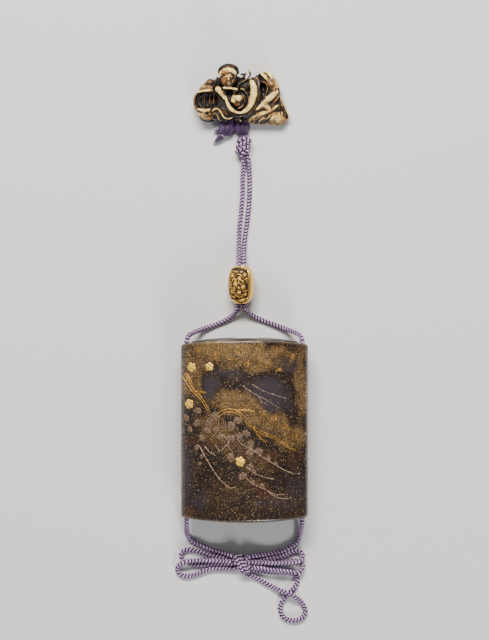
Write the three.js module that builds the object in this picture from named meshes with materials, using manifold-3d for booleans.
// An inro: a lens-shaped lacquer case with its lid, carried on a braided silk cord that runs through
// a metal bead (ojime) up to a carved toggle (netsuke), and is tied in a bow below the case.
// Millimetres. The case lies on its back on z = 0, the toggle is towards +Y, +Z comes out of the face.
import * as THREE from 'three';
import { mergeVertices } from 'three/addons/utils/BufferGeometryUtils.js';
import Module from 'manifold-3d';

const wasm = await Module();
wasm.setup();

const gap = 0.3; // left between pieces that touch

// The case. Its section is two wide arcs with round sides; both ends are shallow domes.
const restFlat = 0.4; // taken off the back, so that the case lies still
const caseHalfWidth = 30;
const caseHalfDepth = 12.4;
const faceRadius = 50;
const sideRadius = 4.4;
const wall = 1.8;
const caseMid = caseHalfDepth - restFlat; // height of the case's middle plane
const bottomCrest = -43.8;
const topCrest = 43.1;
const lidCrest = 43.8;
const domeAcross = 2.8; // how much lower a dome is at the sides than at its crest
const bottomDomeThrough = 1.5; // and at the face and the back
const topDomeThrough = 0.8;
const lidDomeThrough = 1.6;
const edgeRadius = 1.1;

// Each side rib holds a channel for the cord.
const channelX = 27.3;
const channelRadius = 1.45;
const cavityHalfWidth = 24.4;

// The lid sits in a rebate around the mouth, with a skirt inside the walls.
const rebateWall = 1.0;
const rebateHalfWidth = 25.3;
const rebateFloor = 39.4;
const skirtEnd = 33;
const skirtWall = 1.4;

// The bead and the cord.
const cordRadius = 1.0;
const cordSides = 8;
const beadX = -1.6;
const beadY = 68.6;
const beadRadius = 6.25;
const beadHalfLength = 9.05;
const beadBore = 2.5;
const beadReach = 9.8; // where its curve would close, past the cut ends
const beadCurve = 2.9;
const beadFlat = 0.15;
const beadMid = beadRadius - beadFlat;

// Where the toggle's own frame lies.
const toggleX = -1.5;
const toggleY = 158.3;

const paint = (color, roughness, metalness = 0) =>
  new THREE.MeshStandardMaterial({ color, roughness, metalness });
const lacquer = paint(0x3d2f26, 0.25);
const lidLacquer = paint(0x27201c, 0.25);
const gold = paint(0xc9a86a, 0.35, 1);
const ivory = paint(0xd8c8a0, 0.45);
const braid = paint(0x8f78a0, 0.85);
const floss = paint(0x4a3a58, 0.9);

// Solids and booleans

function toManifold(geometry) {
  const bare = geometry.clone();
  bare.deleteAttribute('normal');
  bare.deleteAttribute('uv');
  const merged = mergeVertices(bare, 1e-3);
  const vertProperties = new Float32Array(merged.attributes.position.array);
  const corners = [];
  const index = merged.index.array;
  for (let i = 0; i < index.length; i += 3) {
    const [a, b, c] = [index[i], index[i + 1], index[i + 2]];
    if (a !== b && b !== c && c !== a) corners.push(a, b, c);
  }
  const solid = new wasm.Manifold(
    new wasm.Mesh({ numProp: 3, vertProperties, triVerts: new Uint32Array(corners) }));
  return solid;
}

function toGeometry(solid) {
  const mesh = solid.getMesh();
  const geometry = new THREE.BufferGeometry();
  geometry.setAttribute('position', new THREE.BufferAttribute(mesh.vertProperties, 3));
  geometry.setIndex(new THREE.BufferAttribute(mesh.triVerts, 1));
  geometry.computeVertexNormals();
  return geometry;
}

const joinAll = (solids) => solids.reduce((whole, next) => whole.add(next));

// A sphere whose vertices are moved: place(u, v) gives the point for longitude u and latitude v,
// both 0 to 1, with v = 0 and v = 1 at the two poles.
function shapedSphere(around, along, place) {
  const geometry = new THREE.SphereGeometry(1, around, along);
  const { position, uv } = geometry.attributes;
  for (let i = 0; i < position.count; i += 1) {
    const longitude = Math.round(uv.getX(i) * around) % around;
    const row = Math.round((1 - uv.getY(i)) * along);
    const atPole = row === 0 || row === along;
    const p = place(atPole ? 0 : longitude / around, row / along);
    position.setXYZ(i, p.x, p.y, p.z);
  }
  const solid = toManifold(geometry);
  return solid.volume() > 0 ? solid : toManifold(turnedInsideOut(geometry));
}

function turnedInsideOut(geometry) {
  const index = geometry.index.array;
  for (let i = 0; i < index.length; i += 3) {
    const first = index[i];
    index[i] = index[i + 2];
    index[i + 2] = first;
  }
  return geometry;
}

// The case

// The case's section, anticlockwise from its right side, as points with their outward normals.
function sectionPoints({ halfWidth, halfDepth, radius, corner }) {
  const faceCentre = halfDepth - radius;
  const cornerX = halfWidth - corner;
  const cornerZ = faceCentre + Math.sqrt((radius - corner) ** 2 - cornerX ** 2);
  const turn = Math.atan2(cornerZ - faceCentre, cornerX);
  const points = [];
  const arc = (cx, cz, r, from, to, count) => {
    for (let i = 0; i < count; i += 1) {
      const angle = from + ((to - from) * i) / count;
      const [nx, nz] = [Math.cos(angle), Math.sin(angle)];
      points.push({ x: cx + r * nx, z: cz + r * nz, nx, nz });
    }
  };
  const [cornerSteps, faceSteps] = [4, 16];
  arc(cornerX, cornerZ, corner, 0, turn, cornerSteps);
  arc(0, faceCentre, radius, turn, Math.PI - turn, faceSteps);
  arc(-cornerX, cornerZ, corner, Math.PI - turn, Math.PI, cornerSteps);
  arc(-cornerX, -cornerZ, corner, Math.PI, Math.PI + turn, cornerSteps);
  arc(0, -faceCentre, radius, Math.PI + turn, 2 * Math.PI - turn, faceSteps);
  arc(cornerX, -cornerZ, corner, 2 * Math.PI - turn, 2 * Math.PI, cornerSteps);
  return points;
}

// One end of a box with the case's section: rings from the middle of the end out to its rounded edge.
function endRings({ crest, across, through, round }) {
  const rings = [0, 0.5, 0.8].map((scale) => ({ scale, inset: round, drop: 0 }));
  const steps = round > 0 ? 2 : 0;
  for (let i = 0; i <= steps; i += 1) {
    const angle = steps ? (i / steps) * (Math.PI / 2) : 0;
    rings.push({ scale: 1, inset: round * (1 - Math.sin(angle)), drop: round * (1 - Math.cos(angle)) });
  }
  return rings.map((ring) => ({ ...ring, crest, across, through }));
}

// A closed box with the case's section, from a lower end to an upper end, each flat or domed.
function lensBox(section, lower, upper) {
  const outline = sectionPoints(section);
  const rings = [
    ...endRings(upper).map((ring) => ({ ...ring, side: 1 })),
    ...endRings(lower).map((ring) => ({ ...ring, side: -1 })).reverse(),
  ];
  return shapedSphere(outline.length, rings.length - 1, (u, v) => {
    const p = outline[Math.round(u * outline.length) % outline.length];
    const ring = rings[Math.round(v * (rings.length - 1))];
    const x = (p.x - p.nx * ring.inset) * ring.scale;
    const z = (p.z - p.nz * ring.inset) * ring.scale;
    const dome = ring.across * (x / caseHalfWidth) ** 2 + ring.through * (z / caseHalfDepth) ** 2;
    return new THREE.Vector3(x, ring.crest - ring.side * (dome + ring.drop), z + caseMid);
  });
}

const flatEnd = (crest) => ({ crest, across: 0, through: 0, round: 0 });

const outerSection = {
  halfWidth: caseHalfWidth, halfDepth: caseHalfDepth, radius: faceRadius, corner: sideRadius,
};
const cavitySection = {
  halfWidth: cavityHalfWidth, halfDepth: caseHalfDepth - wall, radius: faceRadius - wall, corner: 2,
};
const rebateSection = {
  halfWidth: rebateHalfWidth,
  halfDepth: caseHalfDepth - rebateWall,
  radius: faceRadius - rebateWall,
  corner: 2.4,
};
const shrunk = (section, by) => ({
  halfWidth: section.halfWidth - by,
  halfDepth: section.halfDepth - by,
  radius: section.radius - by,
  corner: Math.max(section.corner - by, 0.4),
});

function cordChannel(side) {
  const drill = new THREE.CylinderGeometry(channelRadius, channelRadius, 100, 16);
  drill.translate(side * channelX, 0, caseMid);
  return toManifold(drill);
}

// Everything of a solid that is below z = 0.
function below(size) {
  const block = new THREE.BoxGeometry(size, size, 20);
  block.translate(0, 0, -10);
  return toManifold(block);
}

function makeCaseBody() {
  const bottom = { crest: bottomCrest, across: domeAcross, through: bottomDomeThrough, round: edgeRadius };
  const top = { crest: topCrest, across: domeAcross, through: topDomeThrough, round: edgeRadius };
  const floor = { ...bottom, crest: bottomCrest + wall, round: 0 };
  const beyond = topCrest + 5;
  return lensBox(outerSection, bottom, top)
    .subtract(lensBox(cavitySection, floor, flatEnd(beyond)))
    .subtract(lensBox(rebateSection, flatEnd(rebateFloor), flatEnd(beyond)))
    .subtract(cordChannel(-1))
    .subtract(cordChannel(1))
    .subtract(below(120));
}

function makeLid() {
  const dome = { crest: lidCrest, across: domeAcross, through: lidDomeThrough, round: 0.5 };
  const plate = lensBox(shrunk(rebateSection, gap), flatEnd(rebateFloor + gap), dome);
  const skirtSection = shrunk(cavitySection, gap);
  const skirt = lensBox(skirtSection, flatEnd(skirtEnd), flatEnd(rebateFloor + 1));
  const ceiling = { ...dome, crest: lidCrest - wall, round: 0 };
  const pocket = lensBox(shrunk(skirtSection, skirtWall), flatEnd(skirtEnd - 3), ceiling);
  return plate.add(skirt).subtract(pocket);
}

// The bead: an oval turned about its bore, with a shallow relief of scrolls, flat where it rests.

function makeBead() {
  const profile = [];
  const steps = 12;
  for (let i = 0; i <= steps; i += 1) {
    const length = -beadHalfLength * Math.cos((Math.PI * i) / steps);
    const across = Math.sqrt(1 - Math.abs(length / beadReach) ** beadCurve);
    profile.push(new THREE.Vector2(beadRadius * across, length));
  }
  profile.push(new THREE.Vector2(beadBore, beadHalfLength - 0.4));
  profile.push(new THREE.Vector2(beadBore, -beadHalfLength + 0.4));
  profile.push(profile[0].clone());
  const geometry = new THREE.LatheGeometry(profile, 22);
  const { position } = geometry.attributes;
  for (let i = 0; i < position.count; i += 1) {
    const [x, y, z] = [position.getX(i), position.getY(i), position.getZ(i)];
    const out = Math.hypot(x, z);
    if (out > beadBore + 1) {
      const scroll = Math.sin(6 * Math.atan2(z, x) + y * 1.1) * Math.cos(y * 0.9);
      const relief = 1 - 0.022 * (1 - scroll);
      position.setXYZ(i, x * relief, y, z * relief);
    }
  }
  geometry.translate(beadX, beadY, beadMid);
  let solid = toManifold(geometry);
  if (solid.volume() < 0) solid = toManifold(turnedInsideOut(geometry));
  return solid.subtract(below(300));
}

// Carved and soft forms

// A form drawn along a curve, round at both ends. Each station is [x, y, z, half width, half height].
function fold(stations, { around = 7, along = 7, blunt = 2.6 } = {}) {
  const route = new THREE.CatmullRomCurve3(stations.map(([x, y, z]) => new THREE.Vector3(x, y, z)));
  const sizes = new THREE.CatmullRomCurve3(stations.map(([, , , w, h]) => new THREE.Vector3(w, h, 0)));
  const up = new THREE.Vector3(0, 0, 1);
  return shapedSphere(around, along, (u, v) => {
    const t = (1 - Math.cos(Math.PI * v)) / 2;
    const centre = route.getPoint(t);
    const ahead = route.getTangent(t);
    const side = new THREE.Vector3().crossVectors(ahead, up).normalize();
    const lift = new THREE.Vector3().crossVectors(side, ahead);
    const size = sizes.getPoint(t);
    const round = (1 - Math.abs(2 * t - 1) ** blunt) ** (1 / blunt);
    const angle = 2 * Math.PI * u;
    return centre
      .addScaledVector(side, size.x * round * Math.cos(angle))
      .addScaledVector(lift, size.y * round * Math.sin(angle));
  });
}

// A mound on z = 0: a smooth closed outline that narrows towards its middle as it rises.
function mound(outline, middle, height, around, along) {
  const edge = new THREE.CatmullRomCurve3(
    outline.map(([x, y]) => new THREE.Vector3(x, y, 0)), true, 'centripetal');
  const centre = new THREE.Vector3(middle[0], middle[1], 0);
  return shapedSphere(around, along, (u, v) => {
    const angle = v * Math.PI;
    const spread = Math.sin(angle) ** 0.7;
    const p = edge.getPoint(u).sub(centre).multiplyScalar(spread).add(centre);
    p.z = angle < Math.PI / 2 ? height * Math.cos(angle) ** 0.6 : 0;
    return p;
  });
}

function ball(centre, radii, around = 12, along = 8) {
  const geometry = new THREE.SphereGeometry(1, around, along);
  geometry.scale(...radii);
  geometry.translate(...centre);
  return toManifold(geometry);
}

// The toggle: a seated, robed figure with a flute. Sizes are in the toggle's own frame.

const robeOutline = [
  [-15.2, 7.6], [-20.4, 2.4], [-22.7, -2.4], [-21.2, -7.4], [-17.2, -11.4], [-13, -10.8], [-8, -11.8],
  [-2, -11.4], [4, -12.8], [14, -13.5], [19.6, -13.3], [22.6, -9.8], [20.6, -5.2], [17.6, 1.6],
  [15.4, 8], [11.6, 11.4], [8.4, 10.2], [3, 8.6], [-3, 8],
];

const flossStations = [
  [-7.1, -19, 2.3, 2.4, 1.9], [-7.1, -16, 2.3, 3.4, 2], [-7, -12, 2.4, 3, 1.9], [-6.6, -8, 3.8, 2.3, 1.7],
  [-5.4, -5, 5.4, 1.6, 1.6], [-3.2, -4, 5.8, 1.5, 1.6], [-1, -5, 5.4, 1.6, 1.6], [0.3, -8, 3.8, 2.3, 1.7],
  [0.6, -12, 2.4, 3, 1.9], [0.6, -15, 2.6, 3.4, 2.1], [0.5, -17.4, 3.3, 2.2, 1.9],
];
const frayed = [
  [[-7.6, -17.6, 2, 1.6, 1.2], [-10, -16.4, 1.9, 1.3, 1], [-12.9, -16, 1.5, 0.7, 0.7]],
  [[-7.8, -18, 2, 1.6, 1.2], [-10.2, -19.6, 1.8, 1.4, 1.1], [-13.2, -22.4, 1.1, 0.6, 0.6]],
];

function makeFloss() {
  const strands = frayed.map((stations) => fold(stations, { around: 6, along: 4 }));
  return fold(flossStations, { around: 8, along: 20, blunt: 6 }).add(joinAll(strands));
}

function makeToggle() {
  const forms = [
    mound(robeOutline, [-1, -2], 9.4, 34, 7),
    ball([1, 4.2, 6], [5.6, 4.4, 4.6], 10, 6),
    // head and the arcs of its cap
    ball([-5.9, 7.9, 10.6], [4.9, 5.3, 5.6], 11, 8),
    fold([[-10.8, 8.6, 9.6, 0.9, 1.2], [-9.4, 12, 11.6, 1, 1.4], [-5.9, 13.5, 12.2, 1, 1.4],
      [-2.4, 12, 11.6, 1, 1.4], [-1.1, 8.6, 9.6, 0.9, 1.2]], { around: 6 }),
    // flute, lapel, shoulder
    fold([[-9.8, 3.2, 12.4, 0.65, 0.65], [-2, 3, 12.6, 0.65, 0.65]], { around: 6, along: 3, blunt: 6 }),
    fold([[-12.4, 4.6, 9.4, 1.5, 2], [-10.2, 1.4, 10.6, 1.6, 1.8], [-7.8, -2.6, 9.4, 1, 1.4]]),
    ball([-3, 2.2, 10.6], [1.5, 1.5, 2.4], 8, 6),
    fold([[-21.2, 1.6, 6.4, 0.9, 1.6], [-17, 3.4, 8.6, 1.4, 2], [-12.4, 3.2, 9, 1.2, 1.8]]),
    ball([-14.6, 6.4, 7.6], [2.4, 2, 3], 10, 6),
    // left sleeve: its outer edge and the lip below its mouth
    fold([[-20.8, 2, 5.4, 0.9, 2.4], [-22, -2.4, 5.2, 1.1, 2.8], [-20.2, -7, 5, 1.4, 2.6],
      [-15.6, -9.6, 5.4, 1.9, 2.4], [-12, -8.8, 6, 1, 1.6]], { along: 9 }),
    // scarf in a wide U round the knee
    fold([[-8, 2.4, 9.4, 0.8, 1.2], [-6.6, -3.6, 10.2, 1.3, 1.4], [-3.2, -7, 10, 1.5, 1.5],
      [1.2, -6.4, 10, 1.5, 1.5], [4.3, -3, 10.2, 1.6, 1.5], [5.7, 1.4, 10.4, 1.7, 1.6],
      [5.8, 5, 10, 1.6, 1.5], [4.2, 7.8, 8.8, 0.9, 1.2]], { along: 12 }),
    ball([-1.6, -1.6, 9.4], [3.3, 3.1, 3.4], 12, 8),
    // branch with its leaves
    fold([[-3, 2.6, 11, 0.6, 0.9], [1, 5.8, 10.4, 0.8, 1.1], [3.6, 8.8, 7.8, 0.9, 1.4],
      [3.7, 13, 7.4, 0.6, 0.8]], { around: 6 }),
    fold([[-2.4, 9.4, 7.4, 0.7, 1.2], [0.6, 9.8, 7.8, 1.1, 0.9], [3.4, 8.6, 7.6, 0.6, 1]],
      { around: 6, along: 5 }),
    // right sleeve: outer ridge, inner ridge, bright facet
    fold([[8.2, 11.9, 6.8, 0.8, 1.4], [11.8, 10.6, 8, 1.4, 2], [14.6, 7, 8.4, 1.6, 2.2],
      [16.4, 3, 7.8, 1.6, 2.2], [16.6, -0.8, 6.8, 1.2, 1.8]]),
    fold([[7.4, 8.6, 8.2, 1, 1.4], [8, 4, 9.2, 1.1, 1.4], [7.6, -1.4, 9, 1.1, 1.4], [5.2, -6, 8, 0.8, 1.2]]),
    fold([[9.4, -3.4, 7.6, 1.2, 1.4], [12.6, -0.4, 8.8, 1.9, 1.6], [16, 3, 8.4, 1.4, 1.4]]),
    // leaf-shaped fold, the long ridge under it and the hems along the foot
    fold([[4.4, -8.6, 6.8, 0.8, 1.2], [8.2, -6, 7.8, 1.8, 1.4], [12.8, -5.6, 7.2, 1.2, 1.2]]),
    fold([[5, -9.6, 6, 0.7, 1.2], [11, -8.2, 6.8, 0.9, 1.4], [17.2, -4.2, 6.4, 0.7, 1.2]], { around: 6 }),
    fold([[4.4, -11.6, 4.6, 0.8, 1.6], [7, -10.6, 5.2, 0.8, 1.6], [10, -11.8, 4.6, 0.9, 1.6],
      [14, -10.4, 5, 0.8, 1.6], [17.8, -6.6, 5.2, 0.6, 1.4]], { around: 6 }),
    ball([17.6, -10.6, 3.6], [3.8, 2.6, 4], 10, 6),
    fold([[17.6, 0.6, 4.6, 1, 2], [20, -4.8, 4, 1.1, 2.2], [21.8, -10, 2.8, 0.9, 2]], { around: 6 }),
    // wavy ribbon below the left sleeve
    fold([[-13.2, -6.4, 6.8, 0.9, 1], [-9.8, -7.6, 7.8, 1, 1.2], [-7.4, -10.4, 6.6, 1, 1.2],
      [-3.6, -10.2, 6.6, 0.9, 1.2]], { around: 6 }),
  ];
  const hollows = [
    ball([-15.8, -2.2, 9.4], [4.8, 3.7, 4.8], 14, 8), // mouth of the left sleeve
    ball([10.6, 3.4, 9.8], [1.7, 3.6, 3.6], 10, 8), // fold of the right sleeve
    ball([12, 8, 9.6], [1.3, 2.4, 2.4], 8, 6),
  ];
  // the cord's tunnel, open at the back along both of its ends
  const tunnel = flossStations.map(([x, y, z, w, h]) => {
    const open = y < -9;
    return [x, y, open ? z - 0.5 : z, w + 0.45, open ? h + 1 : h + 0.5];
  });
  return hollows
    .reduce((body, hollow) => body.subtract(hollow), joinAll(forms))
    .subtract(fold(tunnel, { around: 8, along: 20, blunt: 12 }))
    .subtract(below(100));
}

// The cord. Points are chosen along its middle line: over the ground, and up into what it runs through.

const up = caseMid;
const low = 1.06; // the cord's middle where it lies on the ground
const over = 3.45; // and where it crosses another

const routes = {
  cord_left: [
    [-0.5, 127.9, 3.0], [-0.6, 124.3, 1.7], [-0.9, 119.6, low], [-1.1, 110, low], [-2.0, 100, low],
    [-2.7, 91, low], [-2.85, 85, 2.2], [-2.8, 80.5, 4.9], [-2.78, 77, beadMid], [-2.76, 68.6, beadMid],
    [-2.76, 60.2, beadMid], [-3.2, 57.2, 5.0], [-5.0, 54.6, 2.6], [-8.8, 51.8, 1.2], [-15, 49.2, low],
    [-20.2, 47.4, 2.4], [-24.2, 45.8, 6.4], [-26.6, 44.1, 10.2], [-27.3, 41.6, up], [-27.3, 38, up],
    [-27.3, 0, up], [-27.3, -38, up], [-27.3, -41.4, up], [-27.4, -44.4, 10.4], [-27.5, -47.4, 5.8],
    [-27.2, -50.6, 2.2], [-25.3, -53.5, low], [-20.9, -55.6, low], [-15, -58, low], [-9, -59.7, 2.2],
    [-5.3, -60.8, 3.5],
  ],
  cord_right: [
    [1.9, 127.9, 3.0], [2.2, 124.3, 1.7], [2.4, 119.6, low], [2.3, 110, low], [1.4, 100, low],
    [0.2, 91, low], [-0.35, 85, 2.2], [-0.4, 80.5, 4.9], [-0.42, 77, beadMid], [-0.44, 68.6, beadMid],
    [-0.44, 60.2, beadMid], [0.2, 57.2, 5.0], [2.6, 54.8, 2.6], [7.2, 52.3, 1.2], [13.6, 49.8, low],
    [19.4, 47.7, 2.4], [23.8, 45.9, 6.4], [26.5, 44.1, 10.2], [27.3, 41.6, up], [27.3, 38, up],
    [27.3, 0, up], [27.3, -38, up], [27.3, -41.4, up], [27.2, -44.4, 10.4], [26.9, -47.4, 5.8],
    [26.3, -51, 2.2], [24.6, -54.6, low], [20.8, -57.2, low], [15, -59.2, low], [8.4, -60.2, 2.0],
    [3.0, -60.7, 3.4],
  ],
  loop_upper_left: [
    [-5.3, -62.1, 1.2], [-9, -62, low], [-14.8, -61, low], [-19.7, -59.5, low], [-24.1, -58.2, low],
    [-27.4, -57.8, low], [-29.7, -58.9, low], [-30.2, -60.9, low], [-28.7, -63, low], [-25.8, -64.5, low],
    [-22.3, -65, low], [-18.9, -64.8, low], [-14.1, -64.4, low], [-9, -64.4, low], [-5.3, -64.5, 1.2],
  ],
  loop_lower_left: [
    [-5.3, -63.3, 4.2], [-9.8, -63.1, over], [-15, -62.8, over], [-20.7, -62.6, over],
    [-25.6, -62.9, over], [-28.8, -63.6, 3.4], [-31.1, -65.1, 2.2], [-32, -67.2, 1.3], [-31, -69.2, low],
    [-28.6, -70.3, low], [-25.6, -70.1, low], [-22.4, -69.2, low], [-19.3, -67.9, low], [-15.8, -67, low],
    [-11.2, -66.8, low], [-5.3, -66.9, 1.4],
  ],
  loop_upper_right: [
    [3, -62.5, 1.2], [7.4, -62.7, low], [12.5, -62.2, low], [16.8, -61.3, low], [20.4, -60.1, low],
    [22.9, -58.9, low], [25.1, -58.4, 1.15], [27, -59.1, 1.5], [27.8, -60.8, 2.2], [27.1, -62.6, 3.1],
    [25, -63.5, over], [20.2, -63.9, over], [15, -64, over], [9.3, -63.7, over], [3, -63.4, 3.9],
  ],
  loop_lower_right: [
    [3, -64.9, 1.2], [8.4, -65.1, low], [14.1, -64.9, low], [19.6, -64, low], [22.6, -63.2, low],
    [24.9, -63.1, low], [26.9, -63.9, 1.1], [27.8, -65.7, 1.6], [27, -67.5, 2.6], [25, -68.4, 3.3],
    [22, -68.2, over], [17.4, -67.7, over], [12.4, -67.3, over], [7.9, -66.4, over], [3, -65.9, 3.8],
  ],
  loop_hanging: [
    [1.4, -69.4, 1.6], [5.1, -71, low], [9.5, -73.4, low], [14.3, -76, 1.3], [17.4, -77.2, 2.5],
    [20.5, -78.2, over], [23.6, -79.8, 3.1], [26.2, -81.9, 1.6], [28.1, -84.2, low], [29.1, -87.1, low],
    [27.9, -89.8, low], [25.3, -91.3, low], [22, -91.5, low], [18.8, -90.1, low], [17.2, -87.3, low],
    [17.3, -84, low], [18.9, -81.2, low], [21.1, -78.7, low], [23.5, -76.1, low], [25.2, -73.3, low],
    [25, -70.9, low], [22.8, -69.3, low], [19.2, -68.7, low], [14.4, -68.6, low], [9.6, -68.2, low],
    [6, -67.6, low], [3.0, -67.4, 1.2],
  ],
};
const tubeSteps = {
  cord_left: 56, cord_right: 56, loop_upper_left: 18, loop_lower_left: 18, loop_upper_right: 18,
  loop_lower_right: 18, loop_hanging: 28,
};

function makeTube(points, steps) {
  const route = new THREE.CatmullRomCurve3(
    points.map((p) => new THREE.Vector3(...p)), false, 'centripetal');
  const ring = new THREE.Shape();
  for (let i = 0; i < cordSides; i += 1) {
    const angle = (2 * Math.PI * i) / cordSides;
    const [x, y] = [cordRadius * Math.cos(angle), cordRadius * Math.sin(angle)];
    if (i === 0) ring.moveTo(x, y);
    else ring.lineTo(x, y);
  }
  return new THREE.ExtrudeGeometry(ring, { steps, extrudePath: route, bevelEnabled: false });
}

// The barrel knot under the toggle: four turns side by side round both strands.

function makeBarrelKnot() {
  const turns = 4;
  const [start, end, middleX, middleZ] = [128.3, 140.4, -0.7, 3.75];
  const pitch = (end - start) / turns;
  const profile = [new THREE.Vector2(0, 0)];
  for (let turn = 0; turn < turns; turn += 1) {
    for (const part of [0.08, 0.3, 0.7, 0.92]) {
      const bulge = Math.sin(Math.PI * part) ** 0.5;
      profile.push(new THREE.Vector2(2.7 + bulge * 1.0 - 0.25 * (turn === 0), (turn + part) * pitch));
    }
  }
  profile.push(new THREE.Vector2(0, turns * pitch));
  const geometry = new THREE.LatheGeometry(profile, 12);
  geometry.translate(middleX, start, middleZ);
  const solid = toManifold(geometry);
  return solid.volume() > 0 ? solid : toManifold(turnedInsideOut(geometry));
}

// The bow's knot: two turns over the bundle of strands.

function makeBowKnot() {
  return joinAll([
    ball([-1.2, -64.4, 3.1], [3.6, 4.6, 2.9], 10, 8),
    fold([[-3.6, -60.6, 2.8, 1.4, 1.6], [-0.6, -63, 4.8, 1.5, 1.5], [1.4, -67, 3.2, 1.4, 1.6]]),
    fold([[1.2, -60.6, 3.0, 1.2, 1.6], [-1, -65, 4.9, 1.4, 1.4], [-2.8, -68, 2.6, 1.3, 1.6]]),
  ]);
}

// The model

const inro = new THREE.Group();
const add = (parent, name, geometry, material) => {
  const mesh = new THREE.Mesh(geometry, material);
  mesh.name = name;
  parent.add(mesh);
};

add(inro, 'case_body', toGeometry(makeCaseBody()), lacquer);
add(inro, 'lid', toGeometry(makeLid()), lidLacquer);
add(inro, 'ojime', toGeometry(makeBead()), gold);

const toggle = new THREE.Group();
toggle.position.set(toggleX, toggleY, 0);
add(toggle, 'netsuke', toGeometry(makeToggle()), ivory);
add(toggle, 'silk_loop', toGeometry(makeFloss()), floss);
inro.add(toggle);

add(inro, 'barrel_knot', toGeometry(makeBarrelKnot()), braid);
add(inro, 'bow_knot', toGeometry(makeBowKnot()), braid);
for (const [name, points] of Object.entries(routes)) {
  add(inro, name, makeTube(points, tubeSteps[name]), braid);
}

export default inro;
